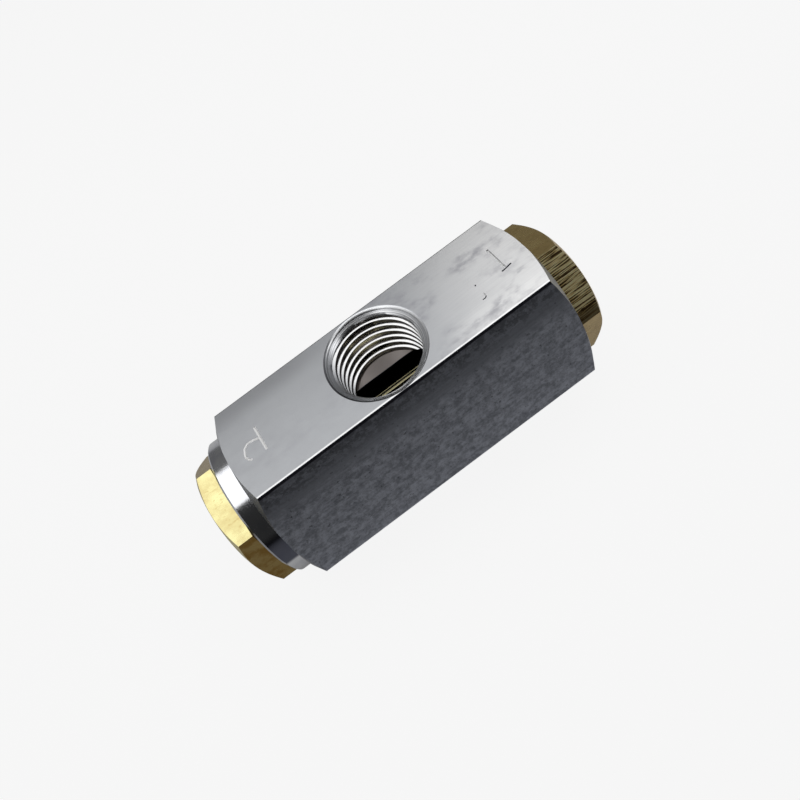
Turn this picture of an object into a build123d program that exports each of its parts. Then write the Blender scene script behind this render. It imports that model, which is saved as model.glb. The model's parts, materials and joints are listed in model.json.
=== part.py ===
"""Blowdown valve on a hexagonal bar, in millimetres, with its bar lying along X and +Z up.

The origin is on the bottom flat, straight under the side port. End 1, the inlet, points along +X.
End 2, the control end, points along -X. Stations along the bar are measured from the side port.
"""

import math
import os

from build123d import *

# The hexagonal bar
bar_across_flats = 25.4
bar_length = 47.0
bar_edge_radius = 0.22
bar_end_circle = 25.5  # the end chamfers leave a circle of this diameter on each end face
bar_chamfer_angle = 33.0  # between the chamfer and the end face

# The ports, all with a quarter inch taper pipe thread, bored here to the thread's major diameter
port_bore = 13.5
port_mouth = 14.4
side_port_depth = 9.3
side_port_drill = 11.6
drill_point_angle = 118.0
end_port_depth = 8.3

# The bar's bores, from end 2 to end 1
bonnet_thread = 21.0
bonnet_thread_end = -17.2
bonnet_tail_bore = 19.6
spring_room = 14.4
spring_room_start = -12.4
spring_room_end = -8.5
flow_bore = 9.4
valve_room = 14.0
valve_room_start = 7.5
valve_room_end = 14.4
nose_bore = 15.4
fitting_thread = 17.1
fitting_thread_start = 18.0

# The brass end fittings
fitting_across_flats = 18.6
fitting_end_circle = 18.3
fitting_chamfer_angle = 31.0
inlet_face = 28.2
inlet_hex_turn = -9.9  # the corner nearest the top, towards +Y
control_face = -29.8
control_hex_turn = 12.8
fitting_shank_clearance = 0.03

# The seat on the inlet fitting's nose
seat_bore = 8.0
seat_lip = 9.8
seat_station = 14.0
seat_height = 0.6

# The bonnet, whose flange is the bright ring between the bar and the control fitting
bonnet_flange = 22.3
bonnet_flange_width = 2.9
bonnet_tail_end = -12.6
cylinder_bore = 14.0
gasket_station = -18.2
gasket_thickness = 0.8
control_hole = 7.5

# The piston, the stem and what they carry, drawn with the valve open
stroke = 2.5
piston_diameter = 13.9
piston_length = 6.5
piston_head = 2.8
spring_pocket = 10.6
stem_diameter = 5.0
stem_thread = 3.0
stem_shoulder = 9.0
nut_across_flats = 5.5
nut_height = 1.8
washer_thickness = 0.4
spigot_end = 0.2
poppet_diameter = 11.0
poppet_rim = 0.6
disc_recess = 9.6
disc_thickness = 1.6

# The return spring and its guide bush
bush_flange = 13.0
bush_flange_width = 1.0
bush_barrel_end = -7.0
bush_clearance = 0.05
bleed_hole = 1.0
bleed_circle = 7.3
bleed_count = 4
wire = 0.7
spring_mean_diameter = 8.6
spring_coils = 4.5
wire_sides = 8  # the round wire is drawn with this many sides, at its true sectional area

# Seals
ring_cord = 1.5
ring_groove_width = 1.9
ring_groove_depth = 1.25
guide_ring_width = 1.5
guide_ring_depth = 0.5
guide_ring_gap = 0.6
seal_corner = 0.28  # chamfer of a seal's section, as a share of its lesser side
seal_clearance = 0.02
stem_ring_depth = 0.7

# Worked out from the above
axis_height = bar_across_flats / 2
bar_end = bar_length / 2
bonnet_face = -bar_end - bonnet_flange_width
fitting_shank_end = gasket_station - gasket_thickness
piston_back = fitting_shank_end
piston_front = piston_back + piston_length
pocket_floor = piston_back + piston_head
bush_face = spring_room_end - bush_flange_width
disc_face = seat_station - stroke
disc_back = disc_face - disc_thickness
nose_floor = nose_bore - 2 * ring_groove_depth
tail_floor = bonnet_tail_bore - 2 * ring_groove_depth
head_floor = piston_diameter - 2 * ring_groove_depth
guide_ring_inner = piston_diameter - 2 * guide_ring_depth
stem_ring_middle = pocket_floor - stem_ring_depth / 2
stem_ring_outer = stem_diameter - 0.2
gasket_inner = cylinder_bore + 0.2

bar_axis = Axis((0, 0, axis_height), (1, 0, 0))


def turned(*profile):
    """A lathe part: a closed half profile of (station, diameter) points turned about the bar's axis."""
    points = [(station, 0, axis_height + diameter / 2) for station, diameter in profile]
    return revolve(make_face(Polyline(*points, close=True)), bar_axis)


def rod(start, end, diameter):
    """A plain cylinder along the bar's axis, between two stations."""
    return turned((start, 0), (start, diameter), (end, diameter), (end, 0))


def hexagon(start, end, across_flats, turn=0.0, edge_radius=0.0):
    """A hexagonal length of bar. With no turn its flats face up and down."""
    across_corners = across_flats / math.cos(math.pi / 6)
    outline = RegularPolygon(across_corners / 2, 6)
    if edge_radius:
        outline = fillet(outline.vertices(), edge_radius)
    section = Plane((start, 0, axis_height), x_dir=(0, 1, 0), z_dir=(1, 0, 0)) * Rot(0, 0, turn) * outline
    return extrude(section, end - start)


def ring(middle, inner, outer, width):
    """A seal squeezed into its groove: a section with its corners taken off, turned about the bar's axis."""
    height = (outer - inner) / 2
    section = chamfer(Rectangle(width, height).vertices(), seal_corner * min(width, height))
    at = Plane((middle, 0, axis_height + (inner + outer) / 4), x_dir=(1, 0, 0), z_dir=(0, -1, 0))
    return revolve(at * section, bar_axis)


def groove(middle, floor, width, outer):
    """The ring of metal that a seal's groove takes away."""
    low, high = middle - width / 2, middle + width / 2
    return turned((low, floor), (low, outer), (high, outer), (high, floor))


def hex_end(face, end_circle, across_flats, angle, inwards):
    """The turning cut that chamfers a hexagon's corners at an end face. inwards is +1 or -1 along X."""
    beyond = across_flats * 1.3
    run = (beyond - end_circle) / 2 * math.tan(math.radians(angle))
    outside = face - inwards
    return turned(
        (face, end_circle),
        (face + inwards * run, beyond),
        (outside, beyond),
        (outside, end_circle),
    )


def port(face, depth, inwards):
    """A threaded port's bore along X, with its countersunk mouth."""
    sink = (port_mouth - port_bore) / 2
    return turned(
        (face - inwards, 0),
        (face - inwards, port_mouth),
        (face, port_mouth),
        (face + inwards * sink, port_bore),
        (face + inwards * depth, port_bore),
        (face + inwards * depth, 0),
    )


def hex_bar():
    """The aluminium bar with its end chamfers, its stepped bore and the side port."""
    bar = hexagon(-bar_end, bar_end, bar_across_flats, 0, bar_edge_radius)
    for end in (-1, 1):
        bar -= hex_end(end * bar_end, bar_end_circle, bar_across_flats, bar_chamfer_angle, -end)
    bar -= turned(
        (-bar_end, 0),
        (-bar_end, bonnet_thread),
        (bonnet_thread_end, bonnet_thread),
        (bonnet_thread_end, bonnet_tail_bore),
        (spring_room_start, bonnet_tail_bore),
        (spring_room_start, spring_room),
        (spring_room_end, spring_room),
        (spring_room_end, flow_bore),
        (valve_room_start, flow_bore),
        (valve_room_start, valve_room),
        (valve_room_end, valve_room),
        (valve_room_end, nose_bore),
        (fitting_thread_start, nose_bore),
        (fitting_thread_start, fitting_thread),
        (bar_end, fitting_thread),
        (bar_end, 0),
    )
    return bar - side_port()


def side_port():
    """The side port: countersunk mouth, thread bore, and the tapping drill's pointed end."""
    sink = (port_mouth - port_bore) / 2
    point = side_port_drill / 2 / math.tan(math.radians(drill_point_angle / 2))
    top = bar_across_flats
    floor = top - side_port_depth
    profile = Polyline(
        (0, 0, top),
        (port_mouth / 2, 0, top),
        (port_bore / 2, 0, top - sink),
        (port_bore / 2, 0, floor),
        (side_port_drill / 2, 0, floor),
        (0, 0, floor - point),
        close=True,
    )
    return revolve(make_face(profile), Axis.Z)


def fitting_hexagon(start, face, turn, inwards):
    """A fitting's hexagon, its end chamfered. turn is its top corner's angle from +Z towards +Y."""
    head = hexagon(min(start, face), max(start, face), fitting_across_flats, 30 - turn)
    return head - hex_end(face, fitting_end_circle, fitting_across_flats, fitting_chamfer_angle, inwards)


def inlet_fitting():
    """The brass fitting of end 1: port, hexagon, threaded shank, sealed nose and the valve seat."""
    nose_end = seat_station + seat_height
    shank = turned(
        (bar_end, 0),
        (bar_end, fitting_thread - 2 * fitting_shank_clearance),
        (fitting_thread_start + 0.1, fitting_thread - 2 * fitting_shank_clearance),
        (fitting_thread_start + 0.1, nose_bore - 2 * fitting_shank_clearance),
        (nose_end, nose_bore - 2 * fitting_shank_clearance),
        (nose_end, seat_lip + 2 * seat_height),
        (seat_station, seat_lip),
        (seat_station, 0),
    )
    fitting = fitting_hexagon(bar_end, inlet_face, inlet_hex_turn, -1) + shank
    fitting -= port(inlet_face, end_port_depth, -1)
    fitting -= rod(seat_station, inlet_face, seat_bore)
    return fitting - groove(inlet_ring_middle(), nose_floor, ring_groove_width, nose_bore)


def inlet_ring_middle():
    """The station of the inlet fitting's seal, midway along its nose."""
    return (seat_station + seat_height + fitting_thread_start) / 2


def control_fitting():
    """The brass fitting of end 2: port, hexagon and a threaded shank whose web stops the piston."""
    shank = rod(bonnet_face, fitting_shank_end, fitting_thread - 2 * fitting_shank_clearance)
    fitting = fitting_hexagon(bonnet_face, control_face, control_hex_turn, 1) + shank
    fitting -= port(control_face, end_port_depth, 1)
    return fitting - rod(control_face, fitting_shank_end, control_hole)


def bonnet():
    """The turned bonnet: its flange shows as a ring, and its barrel is the piston's cylinder."""
    edge = 0.3
    blank = turned(
        (bonnet_face, 0),
        (bonnet_face, bonnet_flange - 2 * edge),
        (bonnet_face + edge, bonnet_flange),
        (-bar_end, bonnet_flange),
        (-bar_end, bonnet_thread - 2 * fitting_shank_clearance),
        (bonnet_thread_end - 0.1, bonnet_thread - 2 * fitting_shank_clearance),
        (bonnet_thread_end - 0.1, bonnet_tail_bore - 2 * fitting_shank_clearance),
        (bonnet_tail_end, bonnet_tail_bore - 2 * fitting_shank_clearance),
        (bonnet_tail_end, 0),
    )
    blank -= rod(bonnet_face, gasket_station, fitting_thread)
    blank -= rod(bonnet_face, bonnet_tail_end, cylinder_bore)
    return blank - groove(bonnet_ring_middle(), tail_floor, ring_groove_width, bonnet_tail_bore)


def bonnet_ring_middle():
    """The station of the bonnet's seal, midway along its plain tail."""
    return (bonnet_thread_end + bonnet_tail_end) / 2


def piston():
    """The skirted piston, with a seal groove in its head and a guide ring groove in its skirt."""
    blank = rod(piston_back, piston_front, piston_diameter)
    blank -= rod(pocket_floor, piston_front, spring_pocket)
    blank -= rod(piston_back, piston_front, stem_thread)
    blank -= rod(pocket_floor - stem_ring_depth, pocket_floor, stem_ring_outer)
    blank -= groove(piston_ring_middle(), head_floor, ring_groove_width, cylinder_bore)
    return blank - groove(guide_ring_middle(), guide_ring_inner, guide_ring_width, cylinder_bore)


def piston_ring_middle():
    """The station of the piston's seal, in the middle of the head."""
    return piston_back + piston_head / 2


def guide_ring_middle():
    """The station of the guide ring, near the skirt's open end."""
    return piston_front - guide_ring_width


def piston_guide_ring():
    """The split plastic ring that keeps the skirt off the cylinder's wall."""
    outer = cylinder_bore - 2 * seal_clearance
    hoop = groove(guide_ring_middle(), guide_ring_inner, guide_ring_width, outer)
    cut = Box(2 * guide_ring_width, guide_ring_gap, outer)
    return hoop - Pos(guide_ring_middle(), 0, axis_height + outer / 2) * cut


def stem():
    """The stem between the piston and the poppet, with a thread spigot at each end."""
    thread = stem_thread - 0.02
    back = piston_back - washer_thickness - nut_height - spigot_end
    front = disc_face + washer_thickness + nut_height + spigot_end
    return turned(
        (back, 0),
        (back, thread),
        (pocket_floor, thread),
        (pocket_floor, stem_diameter),
        (stem_shoulder, stem_diameter),
        (stem_shoulder, thread),
        (front, thread),
        (front, 0),
    )


def nut(start):
    """A small hexagon nut on a spigot of the stem, chamfered at both faces."""
    blank = hexagon(start, start + nut_height, nut_across_flats, 30)
    for face, inwards in ((start, 1), (start + nut_height, -1)):
        blank -= hex_end(face, nut_across_flats - 0.1, nut_across_flats, 30, inwards)
    return blank - rod(start, start + nut_height, stem_thread)


def washer(start, diameter):
    """A plain washer under a nut."""
    return rod(start, start + washer_thickness, diameter) - rod(start, start + washer_thickness, stem_thread)


def poppet():
    """The cup that carries the rubber disc, closed at the back against the stem's shoulder."""
    rim_face = disc_face - poppet_rim
    cup = turned(
        (stem_shoulder, stem_diameter + 2),
        (stem_shoulder + 0.5, poppet_diameter),
        (rim_face, poppet_diameter),
        (rim_face, disc_recess),
        (disc_back, disc_recess),
        (disc_back, stem_thread),
        (stem_shoulder, stem_thread),
    )
    return cup


def seat_disc():
    """The rubber disc that closes on the seat."""
    return rod(disc_back, disc_face, disc_recess) - rod(disc_back, disc_face, stem_thread)


def guide_bush():
    """The flanged bush that guides the stem and seats the spring, with its bleed holes."""
    barrel = flow_bore - 2 * bush_clearance
    bush = turned(
        (bush_face, 0),
        (bush_face, bush_flange),
        (spring_room_end, bush_flange),
        (spring_room_end, barrel),
        (bush_barrel_end, barrel),
        (bush_barrel_end, 0),
    )
    bush -= rod(bush_face, bush_barrel_end, stem_diameter + 2 * bush_clearance)
    length = bush_barrel_end - bush_face
    for step in range(bleed_count):
        turn = math.radians(45 + 360 / bleed_count * step)
        y, z = bleed_circle / 2 * math.sin(turn), bleed_circle / 2 * math.cos(turn)
        middle = Pos(bush_face + length / 2, y, axis_height + z)
        bush -= middle * Rot(0, 90, 0) * Cylinder(bleed_hole / 2, length)
    return bush


def return_spring():
    """The open coiled spring between the piston's pocket and the bush, with plain ends."""
    half_side = math.pi / wire_sides
    corner = wire / 2 * math.sqrt(half_side / (math.sin(half_side) * math.cos(half_side)))
    run = bush_face - pocket_floor - 2 * corner
    path = Helix(run / spring_coils, run, spring_mean_diameter / 2)
    section = Plane(path @ 0, z_dir=path % 0) * RegularPolygon(corner, wire_sides)
    return Pos(pocket_floor + corner, 0, axis_height) * Rot(0, 90, 0) * sweep(section, path)


def squeezed(middle, floor, wall):
    """A seal squeezed between a groove's floor and its wall, with as much rubber as its round cord."""
    height = (wall - floor) / 2
    corners = 2 * (seal_corner * height) ** 2
    return ring(middle, floor, wall, (math.pi / 4 * ring_cord**2 + corners) / height)


pieces = {
    "body": hex_bar(),
    "inlet_fitting": inlet_fitting(),
    "inlet_o_ring": squeezed(inlet_ring_middle(), nose_floor, nose_bore - 2 * seal_clearance),
    "bonnet": bonnet(),
    "bonnet_o_ring": squeezed(bonnet_ring_middle(), tail_floor, bonnet_tail_bore - 2 * seal_clearance),
    "control_fitting": control_fitting(),
    "control_gasket": rod(fitting_shank_end, gasket_station, fitting_thread - 0.2)
    - rod(fitting_shank_end, gasket_station, gasket_inner),
    "piston": piston(),
    "piston_o_ring": squeezed(piston_ring_middle(), head_floor, cylinder_bore - 2 * seal_clearance),
    "piston_guide_ring": piston_guide_ring(),
    "piston_washer": washer(piston_back - washer_thickness, 6.8),
    "piston_nut": nut(piston_back - washer_thickness - nut_height),
    "stem": stem(),
    "stem_o_ring": ring(stem_ring_middle, stem_thread, stem_ring_outer, stem_ring_depth),
    "poppet": poppet(),
    "seat_disc": seat_disc(),
    "disc_washer": washer(disc_face, 6.4),
    "poppet_nut": nut(disc_face + washer_thickness),
    "guide_bush": guide_bush(),
    "return_spring": return_spring(),
}

os.makedirs("parts", exist_ok=True)
for node, shape in pieces.items():
    export_step(shape, f"parts/{node}.step")
    print(node, round(shape.volume, 1))
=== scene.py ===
# %% [markdown]
# # A blowdown valve on a hexagonal aluminium bar
# The valve's body is turned from one piece of drawn hexagonal bar. A brass fitting screws into each end, and a
# threaded port opens in the middle of one flat. Inside, a spring keeps a small piston and its poppet open.
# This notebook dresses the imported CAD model: it adds a camera, light, finishes, cut threads and stamped
# numbers, and never moves the CAD parts. Everything is in metres, in the CAD model's own frame.

# %% Load the CAD model as a fixed frame
import json
import math
from functools import cached_property

import bmesh
import bpy
from mathutils import Matrix, Vector


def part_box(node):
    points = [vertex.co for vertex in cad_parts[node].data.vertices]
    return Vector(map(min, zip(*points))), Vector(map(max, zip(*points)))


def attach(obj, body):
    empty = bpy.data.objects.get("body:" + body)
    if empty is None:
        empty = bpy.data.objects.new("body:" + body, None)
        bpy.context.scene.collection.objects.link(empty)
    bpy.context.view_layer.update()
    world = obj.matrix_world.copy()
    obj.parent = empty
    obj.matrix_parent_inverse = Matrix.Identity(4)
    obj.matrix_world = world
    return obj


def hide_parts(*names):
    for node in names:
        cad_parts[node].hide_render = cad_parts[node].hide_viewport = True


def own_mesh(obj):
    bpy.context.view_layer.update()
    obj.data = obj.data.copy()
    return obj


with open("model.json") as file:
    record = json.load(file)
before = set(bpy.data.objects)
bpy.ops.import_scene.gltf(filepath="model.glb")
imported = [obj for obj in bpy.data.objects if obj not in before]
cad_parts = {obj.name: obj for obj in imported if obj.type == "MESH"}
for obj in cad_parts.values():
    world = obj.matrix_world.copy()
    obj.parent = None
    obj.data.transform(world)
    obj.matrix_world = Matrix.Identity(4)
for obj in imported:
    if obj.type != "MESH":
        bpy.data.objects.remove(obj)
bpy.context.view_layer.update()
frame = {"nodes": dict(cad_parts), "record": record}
MM = 0.001
nodes = frame["nodes"]

# %% [markdown]
# ## Camera
# The photograph is a close-up, so the near end looks clearly larger than the far one. A lens of about 28 mm,
# held some 80 mm from the flat and rolled by about 34 degrees, gives the same leaning bar. The camera's three
# directions are written out as the columns of its matrix, because a roll is hard to aim with a target.


# %% Place the camera
def link(thing):
    """Puts an object in the scene."""
    bpy.context.scene.collection.objects.link(thing)
    return thing


view_right = Vector((0.80169, -0.51605, -0.30165))
view_up = Vector((0.59708, 0.66748, 0.44493))
view_back = Vector((-0.02826, -0.53681, 0.84323))
camera_at = Vector((-3.438, -49.048, 89.687)) * MM

camera_data = bpy.data.cameras.new("camera")
camera_data.lens = 28.305
camera_data.sensor_width = 36
camera_data.clip_start = 1 * MM
camera_data.clip_end = 20
camera = link(bpy.data.objects.new("camera", camera_data))
axes = Matrix((view_right, view_up, view_back)).transposed()
camera.matrix_world = Matrix.Translation(camera_at) @ axes.to_4x4()
bpy.context.scene.camera = camera
print("camera", round(camera_at.length / MM), "mm from the origin")

# %% [markdown]
# ## Shader arithmetic
# A finish is mostly small sums: a scratch mask times a strength, one minus a stain. Wired by hand, each sum is a
# Math node. Here a socket is wrapped in a class whose operators add those nodes, so the finish reads like its
# own formula.


# %% A socket that can be added, subtracted and multiplied
class Wire:
    """A value in a node tree. Arithmetic on it adds Math nodes to the same tree."""

    def __init__(self, finish, socket):
        self.finish = finish
        self.socket = socket

    def __add__(self, other):
        return self.finish.math("ADD", self, other)

    def __radd__(self, other):
        return self.finish.math("ADD", other, self)

    def __sub__(self, other):
        return self.finish.math("SUBTRACT", self, other)

    def __rsub__(self, other):
        return self.finish.math("SUBTRACT", other, self)

    def __mul__(self, other):
        return self.finish.math("MULTIPLY", self, other)

    def __rmul__(self, other):
        return self.finish.math("MULTIPLY", other, self)

    def __neg__(self):
        return 0 - self

    def __pow__(self, other):
        return self.finish.math("POWER", self, other)

    def __gt__(self, other):
        return self.finish.math("GREATER_THAN", self, other)

    def __abs__(self):
        return self.finish.math("ABSOLUTE", self)

    def between(self, low, high):
        """0 below low, 1 above high and a smooth rise from one to the other."""
        return self.finish.node(
            "ShaderNodeMapRange",
            {"interpolation_type": "SMOOTHSTEP"},
            {"Value": self, "From Min": low, "From Max": high},
        )

    def near(self, centre, inner, outer):
        """1 up to the distance inner from a centre, 0 beyond the distance outer."""
        return 1 - abs(self - centre).between(inner, outer)


def either(*masks):
    """1 wherever any of the masks is 1."""
    widest, *others = masks
    for mask in others:
        widest = widest.finish.math("MAXIMUM", widest, mask)
    return widest


# %% A finish, which is one material and its node tree
class Finish:
    """A material under construction."""

    def __init__(self, name):
        self.material = bpy.data.materials.new(name)
        self.material.use_nodes = True
        self.tree = self.material.node_tree
        self.tree.nodes.clear()

    def node(self, kind, settings=None, values=None, output=0):
        """Adds a node: its settings first, then the values or links of its sockets. Gives one output as a Wire."""
        made = self.tree.nodes.new(kind)
        for key, value in (settings or {}).items():
            setattr(made, key, value)
        for key, value in (values or {}).items():
            if isinstance(value, Wire):
                self.tree.links.new(value.socket, made.inputs[key])
            else:
                made.inputs[key].default_value = value
        return Wire(self, made.outputs[output]) if made.outputs else None

    def math(self, operation, *values):
        """A Math node."""
        return self.node("ShaderNodeMath", {"operation": operation}, dict(enumerate(values)))

    def vector(self, operation, first, second):
        """A Vector Math node."""
        return self.node("ShaderNodeVectorMath", {"operation": operation}, {0: first, 1: second})

    def split(self, vector):
        """A vector's three parts."""
        parts = self.node("ShaderNodeSeparateXYZ", {}, {0: vector})
        return [Wire(self, part) for part in parts.socket.node.outputs]

    def facing(self):
        """The surface's own direction, as three parts."""
        return self.split(self.node("ShaderNodeTexCoord", output="Normal"))

    def noise(self, vector, stretch=(1, 1, 1), detail=3.0, roughness=0.5, offset=0.0):
        """Noise from 0 to 1 over a vector that is multiplied by stretch first."""
        seen = self.vector("MULTIPLY", vector, stretch)
        if offset:
            seen = self.vector("ADD", seen, (offset, offset, offset))
        return self.node(
            "ShaderNodeTexNoise",
            {"noise_dimensions": "3D"},
            {"Vector": seen, "Scale": 1.0, "Detail": detail, "Roughness": roughness},
        )

    def blend(self, factor, first, second):
        """A mix of two colours."""
        factor_socket, first_socket, second_socket, colour_output = 0, 6, 7, 2
        values = {factor_socket: factor, first_socket: first, second_socket: second}
        return self.node("ShaderNodeMix", {"data_type": "RGBA"}, values, colour_output)

    def layers(self, base, *coats):
        """Lays coats over a colour, one after another. A coat is a mask and a colour."""
        for mask, coat in coats:
            base = self.blend(mask, base, coat)
        return base

    def bump(self, height, distance, strength=1.0):
        """A normal tilted by a height map. distance is the height of 1, in metres."""
        return self.node("ShaderNodeBump", {}, {"Height": height, "Distance": distance, "Strength": strength})

    def surface(self, **sockets):
        """Ends the tree in a Principled shader. A socket's name is written with _ for its spaces."""
        values = {name.replace("_", " "): value for name, value in sockets.items()}
        shader = self.node("ShaderNodeBsdfPrincipled", {}, values)
        self.node("ShaderNodeOutputMaterial", {}, {"Surface": shader})
        print("finish", self.material.name, "has", len(self.tree.nodes), "nodes")
        return self.material


def colour(red, green, blue):
    """A colour socket's value, from linear parts."""
    return (red, green, blue, 1)


# %% [markdown]
# ## Floor, light and studio
# The photograph was taken on white, close to one broad lamp overhead. The lamp leans to the far side: the top
# flat mirrors it, while the flat that faces the camera mirrors the dim room and stays dark. Metal has hardly any
# colour of its own, so this placing matters more than any finish. The floor is pale paper that also shows itself
# white to the camera, to mirrors and through glass, and still takes the valve's shadow. The room is dim only for
# the metal: to the camera it is as white as the floor, so the background stays pale from every side.


# %% Which kind of ray sees a surface
def seen_by(finish):
    """1 or 0 for a camera ray, a mirrored ray and a ray through glass."""
    outputs = finish.node("ShaderNodeLightPath").socket.node.outputs
    return [Wire(finish, outputs[f"Is {kind} Ray"]) for kind in ("Camera", "Glossy", "Transmission")]


# %% The pale floor
floor_white = 0.90
floor_white_in_mirrors = 0.12
floor_paper = colour(0.5, 0.5, 0.5)
floor_reach = 2.0


def floor_finish():
    """Paper that mixes in its own white for the rays that see it."""
    finish = Finish("floor")
    is_camera, is_glossy, is_through = seen_by(finish)
    seen = (is_camera + is_through) * floor_white + is_glossy * floor_white_in_mirrors
    paper = finish.node("ShaderNodeBsdfDiffuse", {}, {"Color": floor_paper})
    white = finish.node("ShaderNodeEmission", {}, {"Color": colour(1, 1, 1), "Strength": 1.0})
    mixed = finish.node("ShaderNodeMixShader", {}, {0: seen, 1: paper, 2: white})
    finish.node("ShaderNodeOutputMaterial", {}, {"Surface": mixed})
    return finish.material


floor_mesh = bpy.data.meshes.new("floor")
floor_corners = [(x * floor_reach, y * floor_reach, 0) for x, y in ((-1, -1), (1, -1), (1, 1), (-1, 1))]
floor_mesh.from_pydata(floor_corners, [], [(0, 1, 2, 3)])
floor_mesh.materials.append(floor_finish())
link(bpy.data.objects.new("floor", floor_mesh))
print("floor", 2 * floor_reach, "m wide")

# %% One softbox overhead
softbox_data = bpy.data.lights.new("softbox", "AREA")
softbox_data.shape = "RECTANGLE"
softbox_data.size = 0.50
softbox_data.size_y = 0.274
softbox_data.energy = 0.54
softbox = link(bpy.data.objects.new("softbox", softbox_data))
softbox.matrix_world = Matrix.Translation(Vector((10, 65, 240)) * MM)
softbox.visible_camera = False
print("softbox", softbox_data.size, "by", softbox_data.size_y, "m")

# %% A dim room, darker on the camera's side, which looks white to the camera
wall_near, wall_far = 0.02, 0.12
wall_white = 0.95
world = bpy.data.worlds.new("studio")
bpy.context.scene.world = world
world.use_nodes = True


class Room(Finish):
    """The world's own node tree, worked with the same tools as a finish."""

    def __init__(self, surroundings):
        self.tree = surroundings.node_tree
        self.tree.nodes.clear()


room = Room(world)
_, towards_y, _ = room.split(room.node("ShaderNodeTexCoord", output="Generated"))
wall = wall_near + (wall_far - wall_near) * towards_y.between(-0.2, 0.9)
in_picture, _, through_glass = seen_by(room)
shows_white = in_picture + through_glass
wall = shows_white * wall_white + (1 - shows_white) * wall
room_light = room.node("ShaderNodeBackground", {}, {"Color": colour(1, 1, 1), "Strength": wall})
room.node("ShaderNodeOutputWorld", {}, {"Surface": room_light})
bpy.context.scene.view_settings.view_transform = "Standard"
print("room's light from", wall_near, "to", wall_far)

# %% [markdown]
# ## Aluminium bar
# The bar was drawn through a die, which leaves long faint lines and a dull grey skin full of small nicks. The
# flat with the port was cleaned up, so it is brighter, with cloudy stains. The end faces, chamfers and bores are
# turned and show rings. One material could be put on each face, but the zones then end in hard lines. Here one
# finish covers all of it: masks worked out from the place and the direction of the surface choose between skin,
# cleaned flat and turned metal, so it also fits the unseen sides.

# %% Sizes of the valve, in millimetres
TOP = 25.4
AXIS_HEIGHT = TOP / 2
bar_end = 23.5
bonnet_end = 26.4
mouth_radius = 7.2
side_mouth_slope = math.tan(math.radians(57))
thread_bottom = 9.29
flow_bore_radius = 4.7
print("bar", TOP, "mm across flats and", 2 * bar_end, "mm long")


# %% A point on the surface
class Spot:
    """Where a point lies in the CAD frame, in millimetres."""

    def __init__(self, finish):
        in_metres = finish.node("ShaderNodeTexCoord", output="Object")
        self.place = finish.vector("MULTIPLY", in_metres, (1 / MM, 1 / MM, 1 / MM))
        self.x, self.y, self.z = finish.split(self.place)

    @cached_property
    def radius(self):
        """The distance from the bar's axis."""
        above_axis = self.z - AXIS_HEIGHT
        return (self.y * self.y + above_axis * above_axis) ** 0.5


# %% Zones that say how each part of the bar was made
class BarZones:
    """Masks of the bar: 1 inside a zone and 0 outside it."""

    def __init__(self, finish, spot):
        x, y, z = spot.x, spot.y, spot.z
        facing_x, _, facing_z = finish.facing()
        self.top = facing_z.between(0.96, 0.995) * z.between(TOP - 0.5, TOP - 0.1)
        self.from_port = (x * x + y * y) ** 0.5
        within_mouth = 1 - self.from_port.between(mouth_radius + 0.04, mouth_radius + 0.06)
        in_port = within_mouth * (z > AXIS_HEIGHT - 0.7)
        port_wall = in_port * (1 - self.top)
        bores = 1 - spot.radius.between(11.2, 11.9)
        self.ends = abs(facing_x).between(0.3, 0.5)
        self.turned = either(port_wall, bores, self.ends)
        self.skin = (1 - self.top) * (1 - self.turned)
        self.flow_bore = 1 - spot.radius.between(flow_bore_radius + 0.04, flow_bore_radius + 0.1)
        below_thread = (TOP - thread_bottom - z).between(-0.02, 0.01)
        self.drill_point = in_port * below_thread * (1 - self.flow_bore)
        above_cone = self.from_port - mouth_radius + (TOP - z) * side_mouth_slope
        self.countersink = port_wall * above_cone.near(0, 0.1, 0.12)
        # A near-black line on the side port's rolled rim, on the control side.
        rim = self.from_port.between(mouth_radius - 0.22, mouth_radius - 0.17) * (z > TOP - 0.2)
        self.dark_rim = in_port * rim * (1 - (x + y * 0.3).between(-3, 1))
        # Partly wear and partly a painted highlight: a bright strip along the near edge of the top flat.
        self.worn_edge_and_highlight = self.top * (-y).between(6.95, 7.15)
        under_flat = (1 - self.top) * z.between(TOP - 0.14, TOP - 0.12)
        self.fresh_two = under_flat * (1 - x.between(-17.2, -17.0)) * y.near(0, 3, 3.2)


# %% Grain of the bar: stretched and even noise
def turned_rings(finish, spot):
    """Fine rings left by a lathe tool: they follow the radius on a face and the station on a barrel."""
    rings_per_mm = 5
    ring_place = {"X": spot.radius * rings_per_mm, "Y": spot.x * rings_per_mm, "Z": 0.0}
    return finish.noise(finish.node("ShaderNodeCombineXYZ", {}, ring_place), detail=2.0)


class BarGrain:
    """The noise patterns that the bar's colour, gloss and relief share."""

    def __init__(self, finish, spot):
        place = spot.place
        self.lines = finish.noise(place, (0.06, 2.6, 2.6), detail=4.0, roughness=0.6)
        self.fine_lines = finish.noise(place, (0.25, 9, 9), detail=2.0, offset=7)
        self.mottle = finish.noise(place, (0.8, 1.15, 1.15), detail=7.0, roughness=0.8, offset=3)
        speckle = finish.noise(place, (1.6, 2.2, 2.2), roughness=0.6, offset=11)
        self.nick = speckle.between(0.64, 0.72)
        self.glint = (1 - speckle).between(0.66, 0.72)
        cloud = finish.noise(place, (0.11, 0.2, 0.2), detail=5.0, roughness=0.6, offset=21)
        self.smear = finish.noise(place, (0.45, 0.9, 0.9), detail=5.0, roughness=0.65, offset=31)
        more_at_inlet = 0.25 + 0.75 * spot.x.between(-4, 5)
        self.stain = cloud.between(0.45, 0.62) * self.smear.between(0.35, 0.65) * more_at_inlet
        self.rings = turned_rings(finish, spot)


# %% The drawn skin and the cleaned flat
bare_metal = colour(0.95, 0.95, 0.95)


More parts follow.
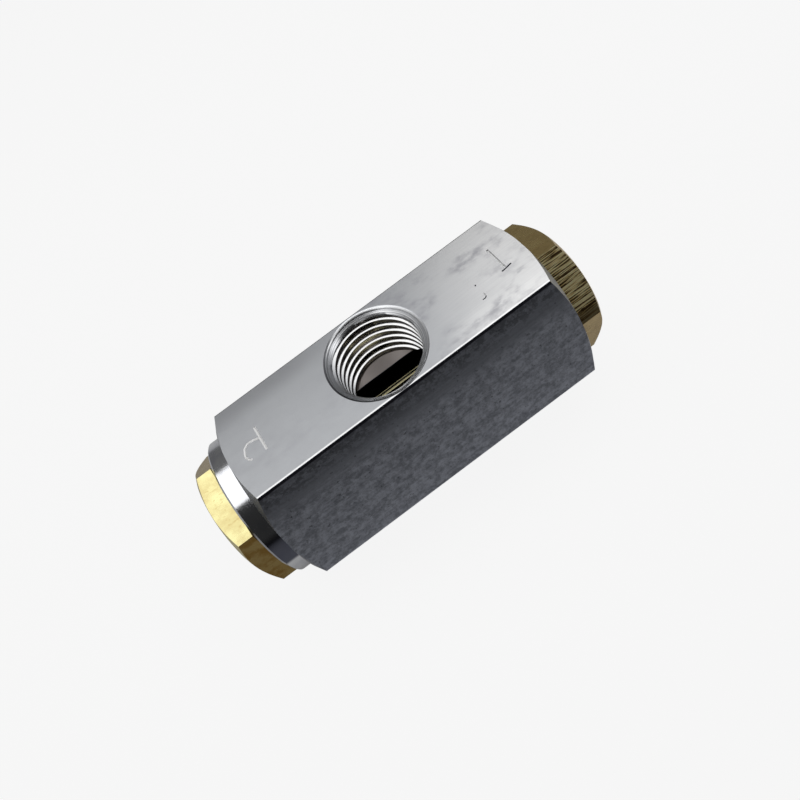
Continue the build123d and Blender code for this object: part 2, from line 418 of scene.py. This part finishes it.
def drawn_skin(finish, spot, zone, grain):
    """Mottled grey with darker patches under the top edge, a line of painted shade just below it, nicks, glints
    and the fresh cut of the 2.
    """
    tone = grain.mottle * 0.82 + grain.lines * 0.18
    # Darker patches in a band under the top edge of the side flats.
    dark_patches_under_edge = spot.z.between(TOP - 4.8, TOP - 0.8) * grain.mottle.between(0.40, 0.56)
    # Painted shade: a near-black line just under the top edge of the side flats.
    painted_edge_shade = spot.z.between(TOP - 0.4, TOP - 0.26) * zone.skin
    return finish.layers(
        finish.blend(tone.between(0.36, 0.64), colour(0.31, 0.325, 0.375), colour(0.68, 0.71, 0.80)),
        (dark_patches_under_edge * 0.75, colour(0.05, 0.052, 0.06)),
        (grain.nick * 0.6, colour(0.04, 0.04, 0.05)),
        (grain.glint * 0.4, colour(0.5, 0.52, 0.56)),
        (painted_edge_shade * 0.9, colour(0.02, 0.02, 0.03)),
        (zone.fresh_two, bare_metal),
    )


def cleaned_flat(finish, spot, zone, grain):
    """Brighter towards the inlet, darker at the far left and lighter at the near right, all painted light, with
    stains, faint lines and a near edge that is worn bare and painted bright as a highlight.
    """
    x, y = spot.x, spot.y
    painted_shade_far_left = y.between(3.5, 6.5) * (1 - x.between(-12, -2))
    painted_light_near_right = (-y).between(3, 6) * x.between(6, 14)
    tarnish = colour(0.33, 0.33, 0.36)
    return finish.layers(
        # Painted light: the tone rises towards the inlet, where the lamp's reflection is brighter, with a painted
        # darker patch at the far left and a lighter one at the near right.
        finish.blend(x.between(2, 24), colour(0.38, 0.39, 0.405), colour(0.66, 0.66, 0.66)),
        (painted_shade_far_left * 0.6, colour(0.24, 0.245, 0.255)),
        (painted_light_near_right * 0.35, colour(0.85, 0.85, 0.84)),
        (grain.stain * 0.7, tarnish),
        (grain.fine_lines.between(0.35, 0.7) * 0.12, tarnish),
        (zone.worn_edge_and_highlight * 0.85, bare_metal),
    )


# %% Turned faces and bores
def turned_metal(finish, spot, zone, grain):
    """Bright with rings. The control end and the flow bore are darkened as painted shade, and the drilled floor of
    the port is darker.
    """
    port_ring_place = finish.node("ShaderNodeCombineXYZ", {}, {"X": zone.from_port * 9})
    port_rings = finish.noise(port_ring_place, detail=2.0).between(0.4, 0.6)
    # Painted shade: the control end's face and chamfer, which lie in the bonnet's shadow, are darker.
    painted_shade_control_end = zone.ends * (1 - spot.x.between(-1, 1))
    return finish.layers(
        finish.blend(grain.rings.between(0.3, 0.7) * 0.3, colour(0.84, 0.84, 0.84), colour(0.6, 0.61, 0.62)),
        (zone.countersink, finish.blend(port_rings, colour(0.95, 0.96, 0.97), colour(0.55, 0.56, 0.59))),
        (painted_shade_control_end, colour(0.35, 0.36, 0.38)),
        (zone.drill_point, colour(0.42, 0.38, 0.36)),
        # Painted shade: the flow bore is near-black.
        (zone.flow_bore, colour(0.03, 0.03, 0.035)),
    )


# %% Bar finish
def bar_finish():
    """Skin, cleaned flat and turned metal, each in its zone."""
    finish = Finish("bar_aluminium")
    spot = Spot(finish)
    zone = BarZones(finish, spot)
    grain = BarGrain(finish, spot)
    skin = drawn_skin(finish, spot, zone, grain)
    flat = cleaned_flat(finish, spot, zone, grain)
    cut = turned_metal(finish, spot, zone, grain)
    base = finish.blend(zone.turned, finish.blend(zone.top, skin, flat), cut)
    # The side port's rim line is darkened to near-black on the control side.
    base = finish.blend(zone.dark_rim * 0.9, base, colour(0.05, 0.05, 0.055))

    rough_skin = 0.36 + 0.12 * grain.mottle + 0.25 * zone.fresh_two
    rough_flat = 0.26 + 0.10 * grain.smear + 0.08 * grain.stain
    rough_cut = 0.14 + 0.3 * (zone.drill_point + zone.flow_bore) + 0.2 * zone.ends + 0.10 * zone.countersink
    rough = zone.skin * rough_skin + zone.top * rough_flat + zone.turned * rough_cut
    drawn = (grain.lines * 0.2 + grain.mottle * 0.6) * (1 - zone.top) + grain.fine_lines * 0.2
    height = (1 - zone.turned) * (drawn - grain.nick * 0.8) + zone.turned * grain.rings * 0.3
    relief = finish.bump(height, 0.006 * MM, strength=0.45)
    return finish.surface(Base_Color=base, Metallic=1.0, Roughness=rough, Normal=relief)


slot_finishes = {"bar_aluminium": bar_finish()}

# %% [markdown]
# ## Bonnet and brass
# The bonnet is bright turned steel: its rim mirrors the lamp as one white band between dark ones, so it is
# smooth, with fine grooves round it, and a dark band lower down is a painted reflection. A dark line where it
# meets the bar is painted shadow. The brass fittings are cut from drawn hexagonal bar. Their flats keep long
# drawing lines, one flat of the inlet fitting is scored by a vice, and a warm brown film lies on the brass in
# places. Painted shade darkens the lower facets, the far facets of the control fitting and the seams. A drawn
# finish follows the bar's length, and a turned one runs round the axis, so the same noise serves both,
# stretched one way or the other.


# %% Bonnet finish
def bonnet_finish():
    """Bright steel with grooves, a dark band of painted reflection and a painted shadow line against the bar."""
    finish = Finish("bonnet_steel")
    spot = Spot(finish)
    facing_x, _, facing_z = finish.facing()
    grooves = finish.noise(spot.place, (11, 0.12, 0.12), roughness=0.6)
    film = finish.noise(spot.place, (0.5, 0.5, 0.5), offset=5)
    low_band = facing_z.between(0.10, 0.16) * (1 - facing_z.between(0.52, 0.62))
    # Painted reflection: a near-black band round the rim below its top, for a dark thing mirrored there.
    painted_dark_reflection = low_band * (1 - abs(facing_x) ** 2)
    # Painted shadow: a near-black line on the bonnet where it meets the bar.
    painted_bar_seam_shadow = spot.x.between(-bar_end - 0.22, -bar_end - 0.16)
    base = finish.layers(
        finish.blend(film.between(0.35, 0.7), colour(0.88, 0.89, 0.91), colour(0.74, 0.75, 0.80)),
        (painted_dark_reflection * 0.9, colour(0.05, 0.055, 0.09)),
        (painted_bar_seam_shadow, colour(0.02, 0.02, 0.025)),
    )
    relief = finish.bump(grooves, 0.002 * MM, strength=0.4)
    return finish.surface(Base_Color=base, Metallic=1.0, Roughness=0.12 + 0.06 * film, Normal=relief)


slot_finishes["bonnet_steel"] = bonnet_finish()


# %% Zones of the brass fittings
class FittingZones:
    """Masks of both fittings: 1 inside a zone and 0 outside it."""

    def __init__(self, finish, spot):
        x, y, z = spot.x, spot.y, spot.z
        facing_x, facing_y, facing_z = finish.facing()
        self.at_inlet = x > 0.0
        self.inside = 1 - spot.radius.between(7.6, 7.9)
        self.turned = either(abs(facing_x).between(0.25, 0.45), self.inside)
        turn = math.radians(-39.9)
        on_scored_flat = (facing_y * math.sin(turn) + facing_z * math.cos(turn)).between(0.95, 0.985)
        self.scored = on_scored_flat * (x > 20.0) * (1 - self.turned)
        across_flat = y * math.cos(turn) - (z - AXIS_HEIGHT) * math.sin(turn)
        self.scored_rim = self.scored * (1 - across_flat.between(-4.6, -3.4))
        # Painted shade: the control fitting's facets that face +y are darker brown.
        self.painted_far_shade = facing_y.between(0.05, 0.3) * (1 - self.at_inlet)
        # Painted shade: facets that face sideways and down are darker, less so on the inlet fitting.
        low = (1 - facing_z.between(0.2, 0.7)) * (1 - self.turned)
        self.painted_low_shade = low * (1 - 0.6 * self.at_inlet)
        # Painted shadow: dark lines on the brass where it meets the bonnet and the bar.
        painted_seam_shadows = either(x.near(-bonnet_end, 0.22, 0.26), x.near(bar_end, 0.16, 0.2))
        self.painted_seam_shadows = painted_seam_shadows * (1 - self.inside)


# %% Brass fitting finish
def fitting_finish():
    """Drawn brass with a brown film and a scored flat, with painted shade on the lower facets, on the control
    fitting's far facets and in the seams.
    """
    finish = Finish("fitting_brass")
    spot = Spot(finish)
    zone = FittingZones(finish, spot)
    lines = finish.noise(spot.place, (0.10, 3.4, 3.4), detail=4.0, roughness=0.65)
    scores = finish.noise(spot.place, (0.2, 5.5, 5.5), roughness=0.6, offset=17)
    film = finish.noise(spot.place, (0.35, 0.5, 0.5), detail=4.0, roughness=0.6, offset=9)
    fleck = finish.noise(spot.place, (1.5, 2.5, 2.5), detail=2.0, offset=13).between(0.58, 0.70)
    rings = turned_rings(finish, spot)
    brown = colour(0.55, 0.38, 0.14)
    base = finish.layers(
        finish.blend(zone.at_inlet, colour(0.88, 0.82, 0.42), colour(1.0, 0.76, 0.34)),
        (film.between(0.35, 0.75) * 0.5, brown),
        (fleck * 0.35, brown),
        (zone.painted_far_shade * 0.75, colour(0.42, 0.28, 0.12)),
        (zone.painted_low_shade * (0.85 + 0.15 * film.between(0.4, 0.6)), colour(0.26, 0.15, 0.035)),
        (zone.scored * 0.6, colour(0.75, 0.58, 0.27)),
        (zone.scored * scores.between(0.50, 0.56), colour(1.0, 0.90, 0.55)),
        (zone.scored * (1 - scores.between(0.44, 0.50)), colour(0.07, 0.04, 0.015)),
        (zone.scored_rim * 0.8, colour(0.10, 0.06, 0.02)),
        (zone.turned * rings.between(0.3, 0.7) * 0.35, brown),
        (zone.painted_seam_shadows, colour(0.03, 0.02, 0.01)),
    )
    rough = 0.22 + 0.10 * film + 0.25 * zone.scored
    height = (1 - zone.turned) * (lines * 0.5 + zone.scored * scores * 6) + zone.turned * rings * 0.6
    relief = finish.bump(height, 0.006 * MM, strength=0.5)
    return finish.surface(Base_Color=base, Metallic=1.0, Roughness=rough, Normal=relief)


slot_finishes["fitting_brass"] = fitting_finish()

# %% [markdown]
# ## Inner parts
# The piston, poppet and bush are turned brass, cleaner than the outside. Nuts and washers are plated steel, the
# spring is drawn wire with a blue-grey temper, and the seals are rubber, which isn't quite black: it has a dusty
# bloom. They show only through the ports and when the valve is taken apart, so one recipe does for all of them:
# two tones and a relief from the same grain. The stem shows in the side port and gets a finish of its own: its
# shaft is painted near-black as shade, with two painted highlight lines and fine scratches along it, where the
# rougher brass scatters the light.


# %% Finishes for the inner parts
def inner_finish(name, pale, dark, smooth, metal, grain, relief, depth):
    """A small part's finish: two tones mixed by a stretched grain, and the same grain as relief."""
    finish = Finish(name)
    place = Spot(finish).place
    texture = finish.noise(place, grain, detail=4.0, roughness=0.6)
    film = finish.noise(place, (0.4, 0.4, 0.4), offset=19)
    tone = (texture * 0.5 + film * 0.5).between(0.35, 0.65)
    return finish.surface(
        Base_Color=finish.blend(tone, colour(*pale), colour(*dark)),
        Metallic=metal,
        Roughness=smooth + 0.1 * tone,
        Normal=finish.bump(texture, depth * MM, relief),
    )


# Each row: pale tone, dark tone, roughness, metal, grain per millimetre, relief, depth of the relief in mm.
inner_looks = {
    "inner_brass": ((0.82, 0.66, 0.30), (0.58, 0.42, 0.16), 0.2, 1.0, (6, 0.3, 0.3), 0.4, 0.004),
    "small_steel": ((0.62, 0.63, 0.62), (0.42, 0.43, 0.44), 0.3, 1.0, (2, 2, 2), 0.3, 0.004),
    "spring_steel": ((0.42, 0.43, 0.46), (0.25, 0.26, 0.30), 0.3, 1.0, (1.5, 1.5, 1.5), 0.3, 0.004),
    "seal_rubber": ((0.022, 0.022, 0.024), (0.05, 0.05, 0.052), 0.5, 0.0, (5, 5, 5), 0.4, 0.01),
    "gasket_fibre": ((0.30, 0.09, 0.05), (0.18, 0.05, 0.03), 0.75, 0.0, (7, 7, 7), 0.8, 0.02),
    "guide_plastic": ((0.72, 0.70, 0.62), (0.60, 0.58, 0.50), 0.4, 0.0, (3, 3, 3), 0.3, 0.005),
}
slot_finishes.update({name: inner_finish(name, *look) for name, look in inner_looks.items()})


# %% Stem finish
def stem_finish():
    """Painted shade over the shaft, with two painted highlight lines and fine scratches along it. The spigots at
    its ends are clean brass.
    """
    finish = Finish("stem_painted_light")
    spot = Spot(finish)
    wavering = spot.y + 0.12 * finish.noise(spot.place, (0.15, 0.15, 0.15), detail=2.0)
    # Painted highlights: two bright lines at set places across the shaft, and scratches from noise.
    near_highlight_line = wavering.near(0.85, 0.10, 0.22)
    far_highlight_line = wavering.near(1.60, 0.10, 0.2)
    streaks = finish.noise(spot.place, (0.12, 6, 6), roughness=0.6).between(0.58, 0.66)
    highlight_lines_and_scratches = either(near_highlight_line, far_highlight_line, streaks * 0.25)
    # Painted shade: a near-black film on the shaft, under the bright lines.
    painted_shade_and_highlights = finish.blend(highlight_lines_and_scratches, colour(0.045, 0.035, 0.025), colour(1.0, 0.92, 0.55))
    shaft = spot.radius.between(2.3, 2.4)
    lines_and_scratches_on_shaft = highlight_lines_and_scratches * shaft
    return finish.surface(
        Base_Color=finish.blend(shaft, colour(0.72, 0.58, 0.28), painted_shade_and_highlights),
        Metallic=1 - 0.75 * lines_and_scratches_on_shaft,
        Roughness=0.16 + 0.24 * lines_and_scratches_on_shaft,
        Normal=finish.bump(lines_and_scratches_on_shaft, 0.04 * MM),
    )


# %% Give every CAD node the finish of its material slot
for subpart in frame["record"]["subparts"]:
    skin_of = nodes[subpart["node"]].data.materials
    skin_of.clear()
    skin_of.append(slot_finishes[subpart["material_slot"]])
nodes["stem"].data.materials[0] = stem_finish()
print(len(slot_finishes) + 1, "finishes on", len(nodes), "nodes")

# %% [markdown]
# ## Cut pipe threads
# The CAD bores are plain cylinders at the thread's major diameter. A thread could be faked with a bump, but the
# camera looks straight into it and the crests hide one another, so it has to be a real shape. A helical grid
# makes it: each row of points follows the helix at one place of the thread's profile, so every crest and root
# is a clean line. The grid is closed behind with a plain wall and stands in its bore like a sleeve.


# %% Turn a mesh into a shown piece
def shade(mesh, sharp_degrees):
    """Smooth except at edges sharper than an angle."""
    mesh.shade_smooth()
    mesh.set_sharp_from_angle(angle=math.radians(sharp_degrees))


def dressed(name, mesh, slot, sharp_degrees):
    """Makes an object of a mesh that rides on the housing and wears the finish of a slot."""
    shade(mesh, sharp_degrees)
    mesh.materials.clear()
    mesh.materials.append(slot_finishes[slot])
    piece = link(bpy.data.objects.new(name, mesh))
    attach(piece, "housing")
    print(name, "has", len(mesh.polygons), "faces")
    return piece


def mesh_of(shape, name):
    """Turns a bmesh into a mesh and frees it."""
    mesh = bpy.data.meshes.new(name)
    shape.to_mesh(mesh)
    shape.free()
    return mesh


# %% Thread sizes, in millimetres
thread_pitch = 1.36
root_radius = 6.74
crest_height = 0.61
taper = 1 / 32
crest_half = 0.32
root_half = 0.05
flank = thread_pitch / 2 - crest_half - root_half
thread_columns = 144
thread_sharp_degrees = 30
flank_rows = (crest_half + flank * step / 4 for step in (1, 2, 3, 4))
rising_rows = (0.0, crest_half / 2, crest_half, *flank_rows)
profile_rows = (*rising_rows, thread_pitch / 2, *(thread_pitch - row for row in rising_rows[:0:-1]))
rows_per_turn = len(profile_rows)
print(rows_per_turn, "rows to a turn, flanks", round(flank, 3), "mm wide")


def thread_radius(depth, crest_depth, mouth_slope):
    """The bore's radius at a depth below the port's face, where a crest lies at crest_depth."""
    from_crest = abs((depth - crest_depth + thread_pitch / 2) % thread_pitch - thread_pitch / 2)
    height = crest_height * min(1, max(0, 1 - (from_crest - crest_half) / flank))
    return max(root_radius - depth * taper - height, mouth_radius - depth * mouth_slope)


# %% One sleeve of thread
class ThreadSleeve:
    """A right-hand internal thread below a port's mouth. outwards and across are unit vectors."""

    def __init__(self, mouth, outwards, across, top, bottom, first_crest, mouth_slope=1.0):
        self.mouth, self.outwards, self.across = mouth, outwards, across
        self.side = outwards.cross(across)
        self.top, self.bottom = top, bottom
        self.first_crest, self.mouth_slope = first_crest, mouth_slope
        self.row_count = (math.ceil((bottom - top) / thread_pitch) + 4) * rows_per_turn
        self.shape = bmesh.new()
        self.rims, self.grid = {}, {}

    def point(self, column, depth, radius):
        turn = -2 * math.pi * column / thread_columns
        spoke = self.across * math.cos(turn) + self.side * math.sin(turn)
        return self.shape.verts.new((self.mouth + spoke * radius - self.outwards * depth) * MM)

    def row_depth(self, column, row):
        turns_down, step = divmod(row, rows_per_turn)
        return self.first_crest + thread_pitch * (column / thread_columns + turns_down - 2) + profile_rows[step]

    def add_points(self):
        """The rims: front top and bottom, then the same on the back wall. The grid: all rows in between."""
        back_radius, rim_gap = root_radius + 0.005, 0.01
        for column in range(thread_columns):
            crest = self.row_depth(column, 0)
            ends = (self.top, self.bottom)
            front = [self.point(column, depth, thread_radius(depth, crest, self.mouth_slope)) for depth in ends]
            self.rims[column] = (*front, *[self.point(column, depth, back_radius) for depth in ends])
            for row in range(self.row_count):
                depth = self.row_depth(column, row)
                if self.top + rim_gap < depth < self.bottom - rim_gap:
                    radius = thread_radius(depth, crest, self.mouth_slope)
                    self.grid[column, row] = self.point(column, depth, radius)

    def corner(self, column, row):
        """The grid's point, or the nearer rim where the row has left the sleeve."""
        if column == thread_columns:
            column, row = 0, row + rows_per_turn
        if (column, row) in self.grid:
            return self.grid[column, row]
        near_top = self.row_depth(column, row) < (self.top + self.bottom) / 2
        return self.rims[column][0 if near_top else 1]

    def add_faces(self):
        for column in range(thread_columns):
            for row in range(self.row_count - rows_per_turn - 1):
                steps = ((0, 0), (0, 1), (1, 1), (1, 0))
                ring = [self.corner(column + right, row + down) for right, down in steps]
                distinct = [vertex for place, vertex in enumerate(ring) if vertex not in ring[:place]]
                if len(distinct) > 2:
                    self.shape.faces.new(distinct)
            here, after = self.rims[column], self.rims[(column + 1) % thread_columns]
            for first, second in ((0, 2), (2, 3), (3, 1)):
                self.shape.faces.new((here[first], after[first], after[second], here[second]))

    def mesh(self, name):
        self.add_points()
        self.add_faces()
        bmesh.ops.recalc_face_normals(self.shape, faces=self.shape.faces)
        return mesh_of(self.shape, name)


# %% The threads of the three ports
up, ahead, sideways = Vector((0, 0, 1)), Vector((1, 0, 0)), Vector((0, 1, 0))
inlet_mouth = Vector((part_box("inlet_fitting")[1].x / MM, 0, AXIS_HEIGHT))
control_mouth = Vector((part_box("control_fitting")[0].x / MM, 0, AXIS_HEIGHT))
side_mouth = Vector((0, 0, TOP))
end_top, end_bottom = 0.46, 8.29
sleeves = {
    "side_port_thread": (
        "bar_aluminium",
        ThreadSleeve(side_mouth, up, sideways, 0.30, thread_bottom, 0.5, side_mouth_slope),
    ),
    "inlet_port_thread": ("fitting_brass", ThreadSleeve(inlet_mouth, ahead, up, end_top, end_bottom, 1.3)),
    "control_port_thread": ("fitting_brass", ThreadSleeve(control_mouth, -ahead, up, end_top, end_bottom, 1.0)),
}
threads = {
    name: dressed(name, sleeve.mesh(name), slot, thread_sharp_degrees) for name, (slot, sleeve) in sleeves.items()
}

# %% [markdown]
# ## Where the flow bore breaks into the thread
# The bar's long bore passes under the side port and cuts away the lowest turns of its thread at two places.
# Faces could be deleted one by one, but the bite would have ragged edges. A boolean with a plain cylinder takes
# the same clean bite out of the sleeve as the drill did.


# %% Cut with a solid
def cylinder_along_x(radius, half_length, sides=96):
    """A cutting cylinder about the bar's axis."""
    shape = bmesh.new()
    place = Matrix.Translation(Vector((0, 0, AXIS_HEIGHT)) * MM) @ Matrix.Rotation(math.pi / 2, 4, "Y")
    bmesh.ops.create_cone(
        shape,
        cap_ends=True,
        segments=sides,
        radius1=radius * MM,
        radius2=radius * MM,
        depth=2 * half_length * MM,
        matrix=place,
    )
    return shape


def cut_away(mesh, shape):
    """The mesh less a solid, as a new mesh. The helper objects are removed again."""
    tool = link(bpy.data.objects.new("cutter", mesh_of(shape, "cutter")))
    blank = link(bpy.data.objects.new("blank", mesh))
    difference = blank.modifiers.new("cut", "BOOLEAN")
    difference.operation = "DIFFERENCE"
    difference.solver = "EXACT"
    difference.object = tool
    view = bpy.context.evaluated_depsgraph_get()
    result = bpy.data.meshes.new_from_object(blank.evaluated_get(view))
    for helper in (blank, tool):
        bpy.data.objects.remove(helper)
    return result


side_thread = threads["side_port_thread"]
bitten = cut_away(side_thread.data.copy(), cylinder_along_x(flow_bore_radius, half_length=9))
shade(bitten, thread_sharp_degrees)
side_thread.data = bitten
print("side port thread now has", len(bitten.polygons), "faces")

# %% [markdown]
# ## The side port's countersink
# On the real bar the countersink is shallow, and its outer edge is rolled over, so a fine bright line runs round
# the port outside the darker slope. On the control side that line is darkened to near-black. A bevel would round
# the whole edge alike. Moving the CAD cone's own two rings of points gives both slopes: the inner ring comes up to
# the shallow slope, and each edge between the rings is divided once, with the new point set a little proud of the
# line. It is done on a copy of the bar, which then stands for the CAD node. The copy drops the normals that came
# with the CAD mesh, because they belong to its old points and would bend the light on faces that are flat.

# %% Roll the countersink's edge over
cad_inner_radius, cad_inner_depth = 6.75, 0.45
rolled_radius, rolled_depth = 6.97, 0.10
bar_shape = bmesh.new()
bar_shape.from_mesh(nodes["body"].data)
bmesh.ops.remove_doubles(bar_shape, verts=bar_shape.verts, dist=1e-7)


def ring_at(radius, depth, near=0.02):
    """The vertices round the side port at a radius and a depth below the flat."""
    ring = set()
    for vertex in bar_shape.verts:
        x, y, z = vertex.co / MM
        if abs(math.hypot(x, y) - radius) < near and abs(TOP - z - depth) < near:
            ring.add(vertex)
    return ring


outer, inner = ring_at(mouth_radius, 0), ring_at(cad_inner_radius, cad_inner_depth)
crossing = [
    edge for edge in bar_shape.edges if len(outer & set(edge.verts)) == 1 and len(inner & set(edge.verts)) == 1
]
for vertex in inner:
    vertex.co.z = (TOP - cad_inner_depth / side_mouth_slope) * MM
divided = bmesh.ops.subdivide_edges(bar_shape, edges=crossing, cuts=1)
rolled = [part for part in divided["geom_inner"] if isinstance(part, bmesh.types.BMVert)]
for vertex in rolled:
    spoke = Vector((vertex.co.x, vertex.co.y, 0)).normalized() * rolled_radius
    vertex.co = (spoke + up * (TOP - rolled_depth)) * MM
bar_mesh = mesh_of(bar_shape, "stamped_bar")
cad_normals = bar_mesh.attributes.get("custom_normal")
if cad_normals:
    bar_mesh.attributes.remove(cad_normals)
print(len(rolled), "points roll the countersink's edge over")

# %% [markdown]
# ## Stamped port numbers
# The ports are told apart by a 1 and a 2, struck into the flat by hand with a single chisel-like stamp, so the
# strokes are thin, a little crooked and V-shaped. A slip of the tool left a hooked scratch and a nick near the 1.
# Real grooves catch the lamp on one side and the dark room on the other, which no painted line would do from
# every side, so they are cut into the bar.


# %% A V-shaped chisel cut along a line
def chisel(points, half_width, depth, above=0.1):
    """A closed three-sided bar along points on the top flat, its edge pointing down."""
    shape = bmesh.new()
    flat_points = [Vector((x, y, TOP)) for x, y in points]
    sections = []
    for place, here in enumerate(flat_points):
        before = flat_points[max(place - 1, 0)]
        after = flat_points[min(place + 1, len(flat_points) - 1)]
        run = (after - before).normalized()
        out = Vector((-run.y, run.x, 0)) * half_width * (depth + above) / depth
        corners = (out + up * above, -out + up * above, -up * depth)
        sections.append([shape.verts.new((here + step) * MM) for step in corners])
    for first, second in zip(sections, sections[1:]):
        for corner in range(3):
            following = (corner + 1) % 3
            shape.faces.new((first[corner], first[following], second[following], second[corner]))
    shape.faces.new(sections[0])
    shape.faces.new(sections[-1][::-1])
    bmesh.ops.recalc_face_normals(shape, faces=shape.faces)
    return shape


# %% Strike the numbers
# Each stroke: the points along it, half its width and its depth.
strokes = {
    "stem of the 1": (((19.80, 2.51), (19.78, 0.6), (19.75, -1.46)), 0.16, 0.12),
    "foot of the 1": (((19.05, -1.75), (19.8, -1.66), (20.67, -1.52)), 0.10, 0.05),
    "hooked scratch": (((15.42, -2.75), (15.40, -3.3), (15.1, -3.52), (14.7, -3.5)), 0.08, 0.04),
    "nick": (((15.24, -0.98), (15.40, -1.08)), 0.12, 0.08),
    "foot of the 2": (((-18.32, 1.90), (-18.32, 0.2), (-18.27, -2.15)), 0.19, 0.07),
    "bow of the 2": (
        (
            (-18.46, -0.01),
            (-19.4, 0.28),
            (-20.17, 0.36),
            (-20.75, -0.05),
            (-21.0, -0.7),
            (-21.13, -1.32),
            (-20.85, -1.9),
            (-20.5, -2.15),
        ),
        0.16,
        0.06,
    ),
}
for points, half_width, depth in strokes.values():
    bar_mesh = cut_away(bar_mesh, chisel(points, half_width, depth))
bar = dressed("stamped_bar", bar_mesh, "bar_aluminium", sharp_degrees=24)
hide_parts("body")
print("struck:", ", ".join(strokes))

# %% [markdown]
# ## Keep the flats flat
# Smooth shading averages the normals of neighbouring faces, and beside a groove or a shallow countersink that
# average would tilt the light over a whole flat. A finer mesh would only make the tilted strip narrower. So the
# faces that lie in one of the bar's six flats, and the walls of the stamped grooves, are shaded flat.


# %% Shade flats and grooves flat
def lies_in_flat(face):
    """Tells whether a face lies in a flat: its plane is as far from the axis as the flats are."""
    out = Vector((0, face.center.y, face.center.z)) / MM - up * AXIS_HEIGHT
    return abs(out.dot(face.normal) - AXIS_HEIGHT) < 0.001


def lies_in_groove(face, from_middle=14, from_ridge=4, deepest=0.14):
    """Tells whether a face lies near a number and no deeper than the strokes."""
    x, y, z = face.center / MM
    return abs(x) > from_middle and abs(y) < from_ridge and TOP - deepest < z


flat_faces = [face for face in bar.data.polygons if lies_in_flat(face) or lies_in_groove(face)]
for face in flat_faces:
    face.use_smooth = False
print(len(flat_faces), "faces shaded flat")

# %% [markdown]
# ## Return spring
# The CAD spring has eight-sided wire to keep it light. Here the wire is round: a ring of points is carried along
# the helix and turned with it. When the piston moves, the spring shortens against the bush.

# %% Wind the spring
wire_radius = 0.35
coil_radius = 4.3
coil_turns = 4.5
spring_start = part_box("return_spring")[0].x / MM + wire_radius
spring_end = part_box("return_spring")[1].x / MM - wire_radius
steps_per_turn, wire_sides = 48, 16
spring_sharp_degrees = 40


def wire_ring(shape, step, steps):
    """One ring of points round the wire, at a step along the helix."""
    turn = 2 * math.pi * step / steps_per_turn
    spoke = Vector((0, math.cos(turn), math.sin(turn)))
    station = spring_start + (spring_end - spring_start) * step / steps
    centre = spoke * coil_radius + Vector((station, 0, AXIS_HEIGHT))
    ring = []
    for side in range(wire_sides):
        angle = 2 * math.pi * side / wire_sides
        out = spoke * math.cos(angle) + ahead * math.sin(angle)
        ring.append(shape.verts.new((centre + out * wire_radius) * MM))
    return ring


def wound_spring():
    """The wire's rings joined by faces, with a face on each end."""
    shape = bmesh.new()
    steps = int(coil_turns * steps_per_turn)
    rings = [wire_ring(shape, step, steps) for step in range(steps + 1)]
    for first, second in zip(rings, rings[1:]):
        for side in range(wire_sides):
            following = (side + 1) % wire_sides
            shape.faces.new((first[side], first[following], second[following], second[side]))
    shape.faces.new(rings[0])
    shape.faces.new(rings[-1][::-1])
    bmesh.ops.recalc_face_normals(shape, faces=shape.faces)
    return mesh_of(shape, "wound_spring")


spring = dressed("wound_spring", wound_spring(), "spring_steel", spring_sharp_degrees)
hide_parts("return_spring")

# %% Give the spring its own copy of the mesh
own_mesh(spring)
